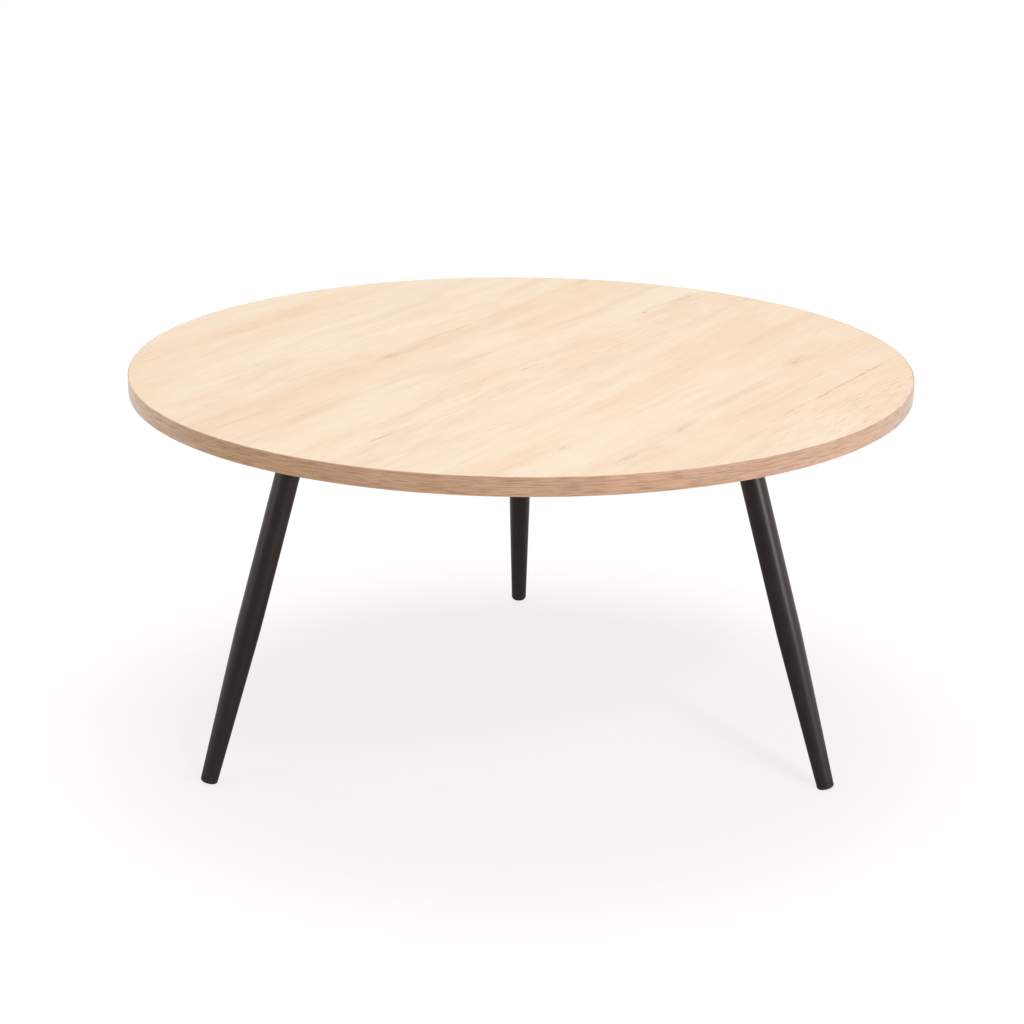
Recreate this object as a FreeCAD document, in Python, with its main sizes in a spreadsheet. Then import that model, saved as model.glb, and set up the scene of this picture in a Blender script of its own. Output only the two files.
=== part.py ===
import FreeCAD, Part
import os
import Sketcher

# Round cocktail table: a laminated disc with an edging strip, bolted to three splayed steel legs.
# Millimetres. The origin is on the floor under the middle of the top, +Z is up, +Y is the back leg's side.

SIZES = (
    ("top_diameter", "800", "top, across its edging strip"),
    ("table_height", "396", "floor to the top's upper face"),
    ("laminate_thickness", "0.8", "decor sheet on the core's upper face"),
    ("core_thickness", "16.4", "particleboard core"),
    ("backing_thickness", "0.8", "balancing sheet on the core's underside"),
    ("band_thickness", "1", "edging strip"),
    ("band_round", "0.5", "softened corners of the edging strip"),
    ("leg_inset", "155.5", "rim of the top to a leg's axis, at the underside"),
    ("leg_splay", "17", "lean of a leg from upright, in degrees"),
    ("tube_diameter", "25", "leg tube above its taper"),
    ("tube_wall", "1.5", "wall of the leg tube"),
    ("foot_diameter", "17.5", "lower end of the leg tube, and the glide's head"),
    ("taper_length", "160", "swaged cone, up the axis from the tube's lower end"),
    ("glide_head", "5", "glide's head, below the tube's end"),
    ("glide_round", "3", "rounded edge of the glide's head"),
    ("glide_flat", "0.5", "depth of the facet that stands on the floor"),
    ("glide_fin_depth", "3", "reach of the glide's fins from its stem to the bore"),
    ("glide_fin_thickness", "1", "one fin"),
    ("glide_fin_pitch", "5", "fin to fin, along the stem"),
    ("glide_clearance", "0.1", "glide's fins to the tube's bore"),
    ("plate_width", "80", "square fixing plate, side to side"),
    ("plate_thickness", "3", "fixing plate"),
    ("plate_corner", "10", "corner radius of the fixing plate"),
    ("plate_hole_inset", "11", "plate's side to a bolt's axis"),
    ("weld_size", "3", "leg of the fillet weld, on the plate and down the tube"),
    ("weld_toe", "0.4", "width of the weld at its lower edge"),
    ("bolt_diameter", "6", "shank of a bolt"),
    ("bolt_hole_clearance", "0.3", "shank to the plate's hole"),
    ("bolt_head_diameter", "10.5", "button head"),
    ("bolt_head_height", "3.3", "button head"),
    ("bolt_head_round", "2.2", "rounded edge of the button head"),
    ("bolt_socket_width", "4", "hexagon socket, across its flats"),
    ("bolt_socket_depth", "2", "hexagon socket"),
    ("bolt_tip_gap", "1.6", "bolt's tip to the end of its hole in the core"),
    ("washer_diameter", "12", "flat washer"),
    ("washer_thickness", "1.6", "flat washer"),
    ("washer_clearance", "0.2", "shank to the washer's hole"),
    ("insert_diameter", "10", "threaded insert"),
    ("insert_cover", "4.2", "core left above an insert"),
    ("insert_chamfer", "0.8", "lead-in at the insert's upper end"),
    ("thread_clearance", "0.05", "shank to the insert's thread"),
)

LEGS = ("back", "left", "right")
BACK_AZIMUTH = 90
FULL_TURN = 360
FIN_COUNT = 4
CORNER_COUNT = 4
HEXAGON_SIDES = 6
# A rounded edge takes up at most this share of the wall that it is on.
MOST_ROUND = 0.8

doc = FreeCAD.newDocument("RoundCocktailTable")
sheet = doc.addObject("Spreadsheet::Sheet", "Sizes")
for row, (alias, number, meaning) in enumerate(SIZES, start=1):
    sheet.set(f"A{row}", alias)
    sheet.set(f"B{row}", number)
    sheet.setAlias(f"B{row}", alias)
    sheet.set(f"C{row}", meaning)
doc.recompute()

# Sizes that follow from the driving ones
BOARD_THICKNESS = "(Sizes.laminate_thickness + Sizes.core_thickness + Sizes.backing_thickness)"
UNDERSIDE = f"(Sizes.table_height - {BOARD_THICKNESS})"
CORE_BOTTOM = f"({UNDERSIDE} + Sizes.backing_thickness)"
CORE_TOP = f"({CORE_BOTTOM} + Sizes.core_thickness)"
RIM_RADIUS = "(Sizes.top_diameter / 2)"
BOARD_RADIUS = f"({RIM_RADIUS} - Sizes.band_thickness)"
BAND_ROUND = f"min(Sizes.band_round; Sizes.band_thickness * {MOST_ROUND})"

SPLAY = "(Sizes.leg_splay * 1deg)"
PLATE_BOTTOM = f"({UNDERSIDE} - Sizes.plate_thickness)"
PLATE_RADIUS = f"({RIM_RADIUS} - Sizes.leg_inset + Sizes.plate_thickness * tan({SPLAY}))"
BOLT_OFFSET = "(Sizes.plate_width / 2 - Sizes.plate_hole_inset)"

TUBE_RADIUS = "(Sizes.tube_diameter / 2)"
FOOT_RADIUS = "(Sizes.foot_diameter / 2)"
BORE_RADIUS = f"({FOOT_RADIUS} - Sizes.tube_wall)"
TAPER_SLOPE = f"(({TUBE_RADIUS} - {FOOT_RADIUS}) / Sizes.taper_length)"
GLIDE_ROUND = f"min(Sizes.glide_round; Sizes.glide_head * {MOST_ROUND})"
# The tube's lower end, at its axis, stands where the glide's tilted, rounded edge meets the floor.
FOOT_HEIGHT = (
    f"((Sizes.glide_head - {GLIDE_ROUND}) * cos({SPLAY})"
    f" + ({FOOT_RADIUS} - {GLIDE_ROUND}) * sin({SPLAY}) + {GLIDE_ROUND} - Sizes.glide_flat)"
)
FOOT_REACH = f"({PLATE_RADIUS} + ({PLATE_BOTTOM} - {FOOT_HEIGHT}) * tan({SPLAY}))"
TUBE_LENGTH = f"(({PLATE_BOTTOM} - {FOOT_HEIGHT}) / cos({SPLAY}))"

INSERT_LENGTH = "(Sizes.backing_thickness + Sizes.core_thickness - Sizes.insert_cover)"
BOLT_LENGTH = f"(Sizes.washer_thickness + Sizes.plate_thickness + {INSERT_LENGTH} - Sizes.bolt_tip_gap)"
BOLT_HOLE = "(Sizes.bolt_diameter + 2 * Sizes.bolt_hole_clearance)"
WASHER_HOLE = "(Sizes.bolt_diameter + 2 * Sizes.washer_clearance)"
INSERT_BORE = "(Sizes.bolt_diameter + 2 * Sizes.thread_clearance)"
HEAD_ROUND = f"min(Sizes.bolt_head_round; Sizes.bolt_head_height * {MOST_ROUND})"


def number(expression):
    """The present value of an expression over the sheet's sizes."""
    return float(sheet.evalExpression(expression))


def origin_feature(body, role):
    """One of the body's own origin planes or axes."""
    return next(feature for feature in body.Origin.OriginFeatures if feature.Role == role)


def new_sketch(body, role, name, offset="0"):
    """A sketch on an origin plane of the body, moved along the plane's normal."""
    sketch = body.newObject("Sketcher::SketchObject", name)
    sketch.AttachmentSupport = [(origin_feature(body, role), "")]
    sketch.MapMode = "FlatFace"
    sketch.setExpression("AttachmentOffset.Base.z", offset)
    return sketch


def bind(sketch, constraint, expression):
    """Adds a constraint whose value is an expression over the sheet's sizes."""
    index = sketch.addConstraint(constraint)
    sketch.renameConstraint(index, f"size_{index}")
    sketch.setExpression(f"Constraints.size_{index}", expression)


def pin_point(sketch, curve, end, x, y):
    """Holds a curve's point at x, y from the sketch's origin: on an axis where the distance is 0."""
    if x == "0":
        sketch.addConstraint(Sketcher.Constraint("PointOnObject", curve, end, -2))
    else:
        bind(sketch, Sketcher.Constraint("DistanceX", -1, 1, curve, end, number(x)), x)
    if y == "0":
        sketch.addConstraint(Sketcher.Constraint("PointOnObject", curve, end, -1))
    else:
        bind(sketch, Sketcher.Constraint("DistanceY", -1, 1, curve, end, number(y)), y)


def draw_outline(sketch, corners):
    """A closed outline of straight lines through corners, given as pairs of expressions."""
    points = [FreeCAD.Vector(number(x), number(y), 0) for x, y in corners]
    lines = [
        sketch.addGeometry(Part.LineSegment(start, finish), False)
        for start, finish in zip(points, points[1:] + points[:1])
    ]
    for line, following in zip(lines, lines[1:] + lines[:1]):
        sketch.addConstraint(Sketcher.Constraint("Coincident", line, 2, following, 1))
    for line, (x, y) in zip(lines, corners):
        pin_point(sketch, line, 1, x, y)


def draw_circle(sketch, x, y, diameter):
    """A circle about x, y."""
    centre = FreeCAD.Vector(number(x), number(y), 0)
    circle = Part.Circle(centre, FreeCAD.Vector(0, 0, 1), number(diameter) / 2)
    curve = sketch.addGeometry(circle, False)
    pin_point(sketch, curve, 3, x, y)
    bind(sketch, Sketcher.Constraint("Diameter", curve, number(diameter)), diameter)


def hexagon(x, y, across_flats):
    """Corners of a hexagon about x, y."""
    turns = [f"{FULL_TURN / HEXAGON_SIDES * side}deg" for side in range(HEXAGON_SIDES)]
    radius = f"{across_flats} / sqrt(3)"
    return [(f"{x} + {radius} * cos({turn})", f"{y} + {radius} * sin({turn})") for turn in turns]


def pad(body, sketch, name, length, downwards=False):
    """Raises a sketch into a solid, up or down from its plane."""
    feature = body.newObject("PartDesign::Pad", name)
    feature.Profile = sketch
    feature.Reversed = downwards
    feature.setExpression("Length", length)
    return feature


def pocket_up(body, sketch, name, depth):
    """Cuts a sketch into the solid above its plane."""
    feature = body.newObject("PartDesign::Pocket", name)
    feature.Profile = sketch
    feature.Reversed = True
    feature.setExpression("Length", depth)
    return feature


def pocket_through(body, sketch, name):
    """Cuts a sketch right through the solid on both sides of its plane."""
    feature = body.newObject("PartDesign::Pocket", name)
    feature.Profile = sketch
    feature.SideType = "Symmetric"
    feature.Type = "ThroughAll"
    return feature


def revolve(body, sketch, name):
    """Turns a sketch on the XZ plane once round the body's Z axis."""
    feature = body.newObject("PartDesign::Revolution", name)
    feature.Profile = sketch
    feature.ReferenceAxis = (sketch, ["V_Axis"])
    feature.Angle = FULL_TURN
    return feature


def dress_edges(body, kind, name, size_property, size, chosen):
    """Rounds or chamfers the edges of the body's solid that the function chosen picks."""
    doc.recompute()
    base = body.Tip
    edges = [f"Edge{index}" for index, edge in enumerate(base.Shape.Edges, start=1) if chosen(edge)]
    if not edges:
        raise RuntimeError(f"{body.Label}: no edge to dress for {name}")
    feature = body.newObject(kind, name)
    feature.Base = (base, edges)
    feature.setExpression(size_property, size)
    return feature


def repeat_round(body, name, count):
    """Repeats the body's whole solid count times round its Z axis."""
    feature = body.newObject("PartDesign::PolarPattern", name)
    feature.TransformMode = "Whole shape"
    feature.Axis = (origin_feature(body, "Z_Axis"), [""])
    feature.Angle = FULL_TURN
    feature.Occurrences = count
    body.Tip = feature


def repeat_cut(body, name, cut, count):
    """Repeats one cut count times round the body's Z axis."""
    feature = body.newObject("PartDesign::PolarPattern", name)
    feature.Originals = [cut]
    feature.Axis = (origin_feature(body, "Z_Axis"), [""])
    feature.Angle = FULL_TURN
    feature.Occurrences = count
    body.Tip = feature


def place(piece, azimuth, reach, height, tilt="0"):
    """Stands a piece at a reach from the table's axis, its X axis outward, leant outward by tilt."""
    turn = f"{azimuth}deg"
    position = f"vector({reach} * cos({turn}); {reach} * sin({turn}); {height})"
    piece.setExpression("Placement", f"placement({position}; rotation({azimuth}; -{tilt}; 0))")


def new_body(label):
    """An empty body whose label names its node."""
    body = doc.addObject("PartDesign::Body", label)
    body.Label = label
    return body


def is_circle(edge, radius, height=None):
    """Is this edge a circle of that radius, at that height where one is given?"""
    tolerance = 1e-4
    if not isinstance(edge.Curve, Part.Circle) or abs(edge.Curve.Radius - radius) > tolerance:
        return False
    return height is None or abs(edge.Curve.Center.z - height) < tolerance


def disc(label, thickness, height):
    """A round sheet of the board, inside the edging strip."""
    body = new_body(label)
    sketch = new_sketch(body, "XY_Plane", f"{label}_outline")
    draw_circle(sketch, "0", "0", f"2 * {BOARD_RADIUS}")
    pad(body, sketch, f"{label}_disc", thickness)
    place(body, 0, "0", height)
    return body


def drill_for_inserts(body, depth):
    """Holes for the threaded inserts, from the body's lower face: four over each leg's plate."""
    doc.recompute()
    sketch = new_sketch(body, "XY_Plane", f"{body.Label}_insert_places")
    for across in (f"-{BOLT_OFFSET}", BOLT_OFFSET):
        for along in (f"-{BOLT_OFFSET}", BOLT_OFFSET):
            draw_circle(sketch, across, f"{PLATE_RADIUS} + {along}", "Sizes.insert_diameter")
    holes = pocket_up(body, sketch, f"{body.Label}_insert_holes", depth)
    doc.recompute()
    repeat_cut(body, f"{body.Label}_hole_groups", holes, len(LEGS))


def top_core():
    """Particleboard disc with blind holes for the inserts."""
    body = disc("top_core", "Sizes.core_thickness", CORE_BOTTOM)
    drill_for_inserts(body, f"{INSERT_LENGTH} - Sizes.backing_thickness")
    return body


def top_laminate():
    """Decor sheet on the core's upper face."""
    return disc("top_laminate", "Sizes.laminate_thickness", CORE_TOP)


def backing_laminate():
    """Balancing sheet on the core's underside, drilled with it."""
    body = disc("backing_laminate", "Sizes.backing_thickness", UNDERSIDE)
    drill_for_inserts(body, "Sizes.backing_thickness")
    return body


def edge_band():
    """Edging strip: a ring over the board's whole thickness, with its two outer corners softened."""
    body = new_body("edge_band")
    sketch = new_sketch(body, "XZ_Plane", "band_section")
    corners = [(BOARD_RADIUS, "0"), (RIM_RADIUS, "0"), (RIM_RADIUS, BOARD_THICKNESS), (BOARD_RADIUS, BOARD_THICKNESS)]
    draw_outline(sketch, corners)
    revolve(body, sketch, "band_ring")
    rim = number(RIM_RADIUS)
    dress_edges(body, "PartDesign::Fillet", "band_corners", "Radius", BAND_ROUND, lambda edge: is_circle(edge, rim))
    place(body, 0, "0", UNDERSIDE)
    return body


def leg_tube(side, azimuth):
    """Steel tube, swaged to a cone at its lower end and mitred at its upper end to lie on the plate.

    Its own Z axis runs up the leg from the tube's lower end, and its own X axis leans outward.
    """
    body = new_body(f"leg_tube_{side}")
    blank = f"({TUBE_LENGTH} + Sizes.tube_diameter * tan({SPLAY}))"
    section = new_sketch(body, "XZ_Plane", f"tube_section_{side}")
    corners = [
        (FOOT_RADIUS, "0"),
        (TUBE_RADIUS, "Sizes.taper_length"),
        (TUBE_RADIUS, blank),
        (f"{TUBE_RADIUS} - Sizes.tube_wall", blank),
        (f"{TUBE_RADIUS} - Sizes.tube_wall", "Sizes.taper_length"),
        (BORE_RADIUS, "0"),
    ]
    draw_outline(section, corners)
    revolve(body, section, f"swaged_tube_{side}")
    doc.recompute()
    mitre = new_sketch(body, "XZ_Plane", f"mitre_line_{side}")
    rise = f"Sizes.tube_diameter * tan({SPLAY})"
    waste_top = f"{TUBE_LENGTH} + 2 * Sizes.tube_diameter"
    corners = [
        ("-Sizes.tube_diameter", f"{TUBE_LENGTH} + {rise}"),
        ("Sizes.tube_diameter", f"{TUBE_LENGTH} - {rise}"),
        ("Sizes.tube_diameter", waste_top),
        ("-Sizes.tube_diameter", waste_top),
    ]
    draw_outline(mitre, corners)
    pocket_through(body, mitre, f"mitre_cut_{side}")
    place(body, azimuth, FOOT_REACH, FOOT_HEIGHT, "Sizes.leg_splay")
    return body


def foot_glide(side, azimuth):
    """Plastic glide: a round-edged head under the tube's end, on a finned stem in the tube's bore.

    The fins follow the bore's taper, and a small facet on the head lies on the floor.
    """
    body = new_body(f"foot_glide_{side}")
    stem = f"({BORE_RADIUS} - Sizes.glide_fin_depth)"
    section = new_sketch(body, "XZ_Plane", f"glide_section_{side}")
    corners = [("0", "-Sizes.glide_head"), (FOOT_RADIUS, "-Sizes.glide_head"), (FOOT_RADIUS, "0"), (stem, "0")]
    for fin in range(1, FIN_COUNT + 1):
        low = f"({fin} * Sizes.glide_fin_pitch)"
        high = f"({low} + Sizes.glide_fin_thickness)"
        tip = f"({BORE_RADIUS} + {TAPER_SLOPE} * {low} - Sizes.glide_clearance)"
        corners += [(stem, low), (tip, low), (tip, high), (stem, high)]
    stem_top = f"{FIN_COUNT + 1} * Sizes.glide_fin_pitch"
    corners += [(stem, stem_top), ("0", stem_top)]
    draw_outline(section, corners)
    revolve(body, section, f"glide_turned_{side}")
    foot = number(FOOT_RADIUS)
    sole = -number("Sizes.glide_head")
    dress_edges(
        body, "PartDesign::Fillet", f"glide_edge_{side}", "Radius", GLIDE_ROUND,
        lambda edge: is_circle(edge, foot, sole),
    )
    doc.recompute()
    floor_line = new_sketch(body, "XZ_Plane", f"floor_line_{side}")
    level = f"-{FOOT_HEIGHT} / cos({SPLAY})"
    rise = f"Sizes.foot_diameter * tan({SPLAY})"
    waste_bottom = f"{level} - 2 * Sizes.foot_diameter"
    corners = [
        ("-Sizes.foot_diameter", f"{level} + {rise}"),
        ("Sizes.foot_diameter", f"{level} - {rise}"),
        ("Sizes.foot_diameter", waste_bottom),
        ("-Sizes.foot_diameter", waste_bottom),
    ]
    draw_outline(floor_line, corners)
    pocket_through(body, floor_line, f"floor_facet_{side}")
    place(body, azimuth, FOOT_REACH, FOOT_HEIGHT, "Sizes.leg_splay")
    return body


def leg_plate(side, azimuth):
    """Square fixing plate with rounded corners and a bolt hole in each corner."""
    body = new_body(f"leg_plate_{side}")
    half = "Sizes.plate_width / 2"
    sketch = new_sketch(body, "XY_Plane", f"plate_outline_{side}")
    draw_outline(sketch, [(f"-{half}", f"-{half}"), (half, f"-{half}"), (half, half), (f"-{half}", half)])
    pad(body, sketch, f"plate_blank_{side}", "Sizes.plate_thickness")
    dress_edges(
        body, "PartDesign::Fillet", f"plate_corners_{side}", "Radius", "Sizes.plate_corner",
        lambda edge: abs(edge.tangentAt(edge.FirstParameter).z) > MOST_ROUND,
    )
    doc.recompute()
    bolt_place = new_sketch(body, "XY_Plane", f"bolt_place_{side}")
    draw_circle(bolt_place, BOLT_OFFSET, BOLT_OFFSET, BOLT_HOLE)
    hole = pocket_through(body, bolt_place, f"bolt_hole_{side}")
    doc.recompute()
    repeat_cut(body, f"bolt_holes_{side}", hole, CORNER_COUNT)
    place(body, azimuth, PLATE_RADIUS, PLATE_BOTTOM)
    return body


def leg_weld(side, azimuth):
    """Fillet weld: its outline on the plate is the tube's slanted section, widened, and it narrows down the tube."""
    rings = []
    for name, width, drop in (("plate", "Sizes.weld_size", "0"), ("tube", "Sizes.weld_toe", "Sizes.weld_size")):
        ring = doc.addObject("Part::Ellipse", f"weld_{name}_edge_{side}")
        ring.setExpression("MajorRadius", f"{TUBE_RADIUS} / cos({SPLAY}) + {width}")
        ring.setExpression("MinorRadius", f"{TUBE_RADIUS} + {width}")
        centre = f"vector({drop} * tan({SPLAY}); 0; -{drop})"
        ring.setExpression("Placement", f"placement({centre}; rotation(0; 0; 0))")
        rings.append(ring)
    bead = doc.addObject("Part::Loft", f"weld_bead_{side}")
    bead.Sections = rings
    bead.Solid = True
    bead.Ruled = True
    tube = doc.addObject("Part::Cylinder", f"weld_tube_{side}")
    tube.setExpression("Radius", TUBE_RADIUS)
    tube.setExpression("Height", "2 * Sizes.tube_diameter")
    low_end = f"vector(Sizes.tube_diameter * sin({SPLAY}); 0; -Sizes.tube_diameter * cos({SPLAY}))"
    tube.setExpression("Placement", f"placement({low_end}; rotation(0; -Sizes.leg_splay; 0))")
    weld = doc.addObject("Part::Cut", f"leg_weld_{side}")
    weld.Label = f"leg_weld_{side}"
    weld.Base = bead
    weld.Tool = tube
    place(weld, azimuth, PLATE_RADIUS, PLATE_BOTTOM)
    return weld


def plate_bolts(side, azimuth):
    """Four button-head bolts with hexagon sockets, up through the washers and the plate into the inserts."""
    body = new_body(f"plate_bolts_{side}")
    seat = "-Sizes.washer_thickness"
    crown = f"({seat} - Sizes.bolt_head_height)"
    head = new_sketch(body, "XY_Plane", f"bolt_head_outline_{side}", seat)
    draw_circle(head, BOLT_OFFSET, BOLT_OFFSET, "Sizes.bolt_head_diameter")
    pad(body, head, f"bolt_head_{side}", "Sizes.bolt_head_height", downwards=True)
    low = number(crown)
    radius = number("Sizes.bolt_head_diameter") / 2
    dress_edges(
        body, "PartDesign::Fillet", f"bolt_crown_{side}", "Radius", HEAD_ROUND,
        lambda edge: is_circle(edge, radius, low),
    )
    shank = new_sketch(body, "XY_Plane", f"bolt_shank_outline_{side}", seat)
    draw_circle(shank, BOLT_OFFSET, BOLT_OFFSET, "Sizes.bolt_diameter")
    pad(body, shank, f"bolt_shank_{side}", BOLT_LENGTH)
    doc.recompute()
    socket = new_sketch(body, "XY_Plane", f"bolt_socket_outline_{side}", crown)
    draw_outline(socket, hexagon(BOLT_OFFSET, BOLT_OFFSET, "Sizes.bolt_socket_width"))
    pocket_up(body, socket, f"bolt_socket_{side}", "Sizes.bolt_socket_depth")
    doc.recompute()
    repeat_round(body, f"bolt_group_{side}", CORNER_COUNT)
    place(body, azimuth, PLATE_RADIUS, PLATE_BOTTOM)
    return body


def bolt_washers(side, azimuth):
    """Four flat washers between the bolts' heads and the plate."""
    body = new_body(f"bolt_washers_{side}")
    sketch = new_sketch(body, "XY_Plane", f"washer_outline_{side}")
    draw_circle(sketch, BOLT_OFFSET, BOLT_OFFSET, "Sizes.washer_diameter")
    draw_circle(sketch, BOLT_OFFSET, BOLT_OFFSET, WASHER_HOLE)
    pad(body, sketch, f"washer_{side}", "Sizes.washer_thickness", downwards=True)
    doc.recompute()
    repeat_round(body, f"washer_group_{side}", CORNER_COUNT)
    place(body, azimuth, PLATE_RADIUS, PLATE_BOTTOM)
    return body


def threaded_inserts(side, azimuth):
    """Four threaded inserts in the board, flush with its underside, chamfered at their upper ends."""
    body = new_body(f"threaded_inserts_{side}")
    sketch = new_sketch(body, "XY_Plane", f"insert_outline_{side}", "Sizes.plate_thickness")
    draw_circle(sketch, BOLT_OFFSET, BOLT_OFFSET, "Sizes.insert_diameter")
    draw_circle(sketch, BOLT_OFFSET, BOLT_OFFSET, INSERT_BORE)
    pad(body, sketch, f"insert_{side}", INSERT_LENGTH)
    radius = number("Sizes.insert_diameter") / 2
    upper = number(f"Sizes.plate_thickness + {INSERT_LENGTH}")
    dress_edges(
        body, "PartDesign::Chamfer", f"insert_lead_{side}", "Size", "Sizes.insert_chamfer",
        lambda edge: is_circle(edge, radius, upper),
    )
    doc.recompute()
    repeat_round(body, f"insert_group_{side}", CORNER_COUNT)
    place(body, azimuth, PLATE_RADIUS, PLATE_BOTTOM)
    return body


BOARD_PIECES = (top_core, top_laminate, backing_laminate, edge_band)
LEG_PIECES = (leg_tube, foot_glide, leg_plate, leg_weld, plate_bolts, bolt_washers, threaded_inserts)


def build():
    """Every sub-part of the table, in order from the top down."""
    pieces = [make() for make in BOARD_PIECES]
    for position, side in enumerate(LEGS):
        azimuth = BACK_AZIMUTH + FULL_TURN // len(LEGS) * position
        pieces += [make(side, azimuth) for make in LEG_PIECES]
    doc.recompute()
    return pieces


def check(pieces):
    """Stops before anything is written if a feature failed or a sub-part isn't a sound solid."""
    failed = [item.Label for item in doc.Objects if {"Invalid", "Error"} & set(item.State)]
    if failed:
        raise RuntimeError(f"failed features: {failed}")
    for piece in pieces:
        if piece.Shape.isNull() or not piece.Shape.isValid() or not piece.Shape.Solids:
            raise RuntimeError(f"{piece.Label} is not a sound solid")


def write(pieces):
    """One file for each sub-part, named by its label."""
    os.makedirs("parts", exist_ok=True)
    for piece in pieces:
        piece.Shape.exportStep(os.path.join("parts", f"{piece.Label}.step"))


table = build()
check(table)
write(table)
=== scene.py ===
import bpy
import numpy as np
from bpy.props import FloatProperty, FloatVectorProperty, IntProperty, PointerProperty
from mathutils import Matrix, Vector


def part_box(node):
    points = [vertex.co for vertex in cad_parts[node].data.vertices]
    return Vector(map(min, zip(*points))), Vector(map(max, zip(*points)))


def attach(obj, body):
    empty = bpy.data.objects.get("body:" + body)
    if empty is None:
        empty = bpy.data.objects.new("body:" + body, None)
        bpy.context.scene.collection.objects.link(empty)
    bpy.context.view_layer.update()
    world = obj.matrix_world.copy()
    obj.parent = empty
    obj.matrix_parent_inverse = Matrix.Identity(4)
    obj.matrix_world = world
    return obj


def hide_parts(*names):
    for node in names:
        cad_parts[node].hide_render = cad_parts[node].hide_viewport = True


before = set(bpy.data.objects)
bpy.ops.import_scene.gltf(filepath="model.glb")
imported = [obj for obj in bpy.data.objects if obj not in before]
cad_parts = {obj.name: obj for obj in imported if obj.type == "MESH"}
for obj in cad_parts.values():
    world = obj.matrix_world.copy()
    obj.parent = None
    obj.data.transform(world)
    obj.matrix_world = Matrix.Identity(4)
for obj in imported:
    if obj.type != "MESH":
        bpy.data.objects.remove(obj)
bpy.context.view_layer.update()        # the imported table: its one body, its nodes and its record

bl_info = {
    "name": "Round cocktail table",
    "version": (1, 0, 0),
    "blender": (4, 5, 0),
    "location": "View3D > Sidebar > Table",
    "description": "Oak decor top on three splayed and swaged steel legs",
    "category": "Object",
}

# Sizes read from the frame, in metres
RIM_LOW, RIM_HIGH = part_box("edge_band")
SHEET_LOW, SHEET_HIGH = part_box("top_laminate")
TUBE_LOW, TUBE_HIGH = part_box("leg_tube_back")
PLATE_LOW, PLATE_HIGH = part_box("leg_plate_back")
WELD_LOW, WELD_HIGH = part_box("leg_weld_back")
_, CAP_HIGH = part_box("foot_glide_back")
RIM_RADIUS = RIM_HIGH.x
BOARD_RADIUS = SHEET_HIGH.x
TUBE_RADIUS = TUBE_HIGH.x
FOOT_RADIUS = CAP_HIGH.x
PLATE_REACH = (PLATE_LOW.y + PLATE_HIGH.y) / 2
PLATE_BOTTOM = PLATE_LOW.z
WELD_SIZE = WELD_HIGH.z - WELD_LOW.z

# Directions of the three legs
SIDES = {"back": np.radians(90), "left": np.radians(210), "right": np.radians(330)}

FULL_TURN = 2 * np.pi
MM = 0.001

# Edges that bend by more than this stay crisp
CRISP_BEND = np.radians(32)

# Columns of points round each new piece
SHEET_COLUMNS = 512
STRIP_COLUMNS = 720
TUBE_COLUMNS = 112
WELD_COLUMNS = 448
CAP_COLUMNS = 96
FLOOR_COLUMNS = 96

# Rows of points along the profiles, or along a rounded corner of one
SHEET_ROWS = 6
STRIP_CORNER_ROWS = 7
FOOT_EDGE_ROWS = 6
TAPER_ROWS = 44
BORE_ROWS = 16
WELD_ROWS = 11
CAP_CORNER_ROWS = 13


def paint(red, green, blue):
    """Turns a display colour of 0 to 255 into the linear colour that sockets take."""
    shown = np.array((red, green, blue)) / 255
    return tuple(np.where(shown > 0.04045, ((shown + 0.055) / 1.055) ** 2.4, shown / 12.92))


def length(label, text, size):
    """A size in metres that a user can change."""
    return FloatProperty(name=label, description=text, default=size, unit="LENGTH", subtype="DISTANCE")


def turn(label, text, degrees):
    """An angle that a user can change."""
    return FloatProperty(name=label, description=text, default=np.radians(degrees), subtype="ANGLE")


def share(label, text, amount):
    """A plain number that a user can change."""
    return FloatProperty(name=label, description=text, default=amount)


def colour(label, text, red, green, blue):
    """A colour that a user can change, written as its display values."""
    return FloatVectorProperty(
        name=label, description=text, default=paint(red, green, blue), subtype="COLOR", min=0, max=1
    )


class TopSettings(bpy.types.PropertyGroup):
    """Sizes and colours of the round top."""

    arris: length("Sheet arris", "Softened edge of the top sheet", 0.1 * MM)
    strip_round: length("Strip rounding", "Radius on the edging strip's long edges", 0.5 * MM)
    strip_joint: length("Strip joint", "Gap where the ends of the edging strip meet", 0.12 * MM)
    joint_place: turn("Joint place", "Direction of the strip's joint, at the back", 97)
    grain_angle: turn("Grain direction", "Direction of the grain from the X axis", 58)
    cream: colour("Cream", "Palest wood", 250, 229, 203)
    tan: colour("Tan", "Usual wood", 245, 219, 189)
    orange: colour("Orange", "Warm bands", 243, 209, 172)
    brown: colour("Brown", "Dark streaks and knots", 178, 137, 101)
    edging: colour("Edging", "Usual colour of the edging strip", 234, 182, 134)
    # Also the darker tone of the painted shade on the strip's right side
    edging_pink_and_shade: colour("Edging tint", "Pinkish stretches of the edging strip", 211, 169, 144)
    edging_dark: colour("Edging streak", "Dark lines of the edging strip", 146, 106, 80)
    backing: colour("Backing", "Usual colour of the sheet below", 224, 198, 168)
    chip: colour("Chip", "Wood chips of the board inside", 196, 160, 118)


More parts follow.
